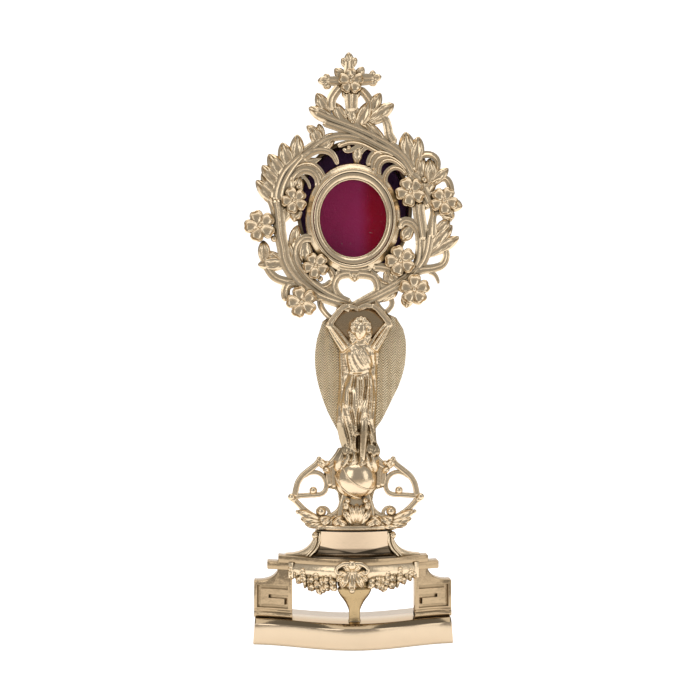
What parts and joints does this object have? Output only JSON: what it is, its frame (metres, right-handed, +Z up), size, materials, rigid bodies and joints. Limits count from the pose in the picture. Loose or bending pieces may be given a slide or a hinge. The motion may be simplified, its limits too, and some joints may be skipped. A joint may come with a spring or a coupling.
{
  "type": "figural reliquary stand",
  "caption": "Standing reliquary: winged figure on a globe holding a pierced oval leaf-and-flower frame with a window and case, on a bowed footed pedestal and base.",
  "frame": {"origin": "on the underside of the base plate, on the upright line that the pedestal, strut and window are centred on", "axes": "+Z up, -Y towards the viewer who faces the window, +X to that viewer's right"},
  "size_m": [0.1099, 0.0663, 0.299],
  "materials": {
    "base_brass": "polished, a little dulled on top",
    "pedestal_brass": "polished cast brass, darker in the recesses",
    "figure_brass": "polished cast brass, darker in the recesses",
    "frame_brass": "polished cast brass, darker in the recesses",
    "bezel_brass": "bright polish",
    "window_glass": "clear",
    "velvet": "wine red velvet",
    "case_brass": "plain spun brass, satin"
  },
  "bodies": {
    "root": {"base_plate": "base_brass", "pedestal": "pedestal_brass", "angel": "figure_brass", "foliage_frame": "frame_brass", "window_bezel": "bezel_brass", "window_glass": "window_glass", "velvet_lining": "velvet", "relic_case": "case_brass"}
  },
  "joints": []
}
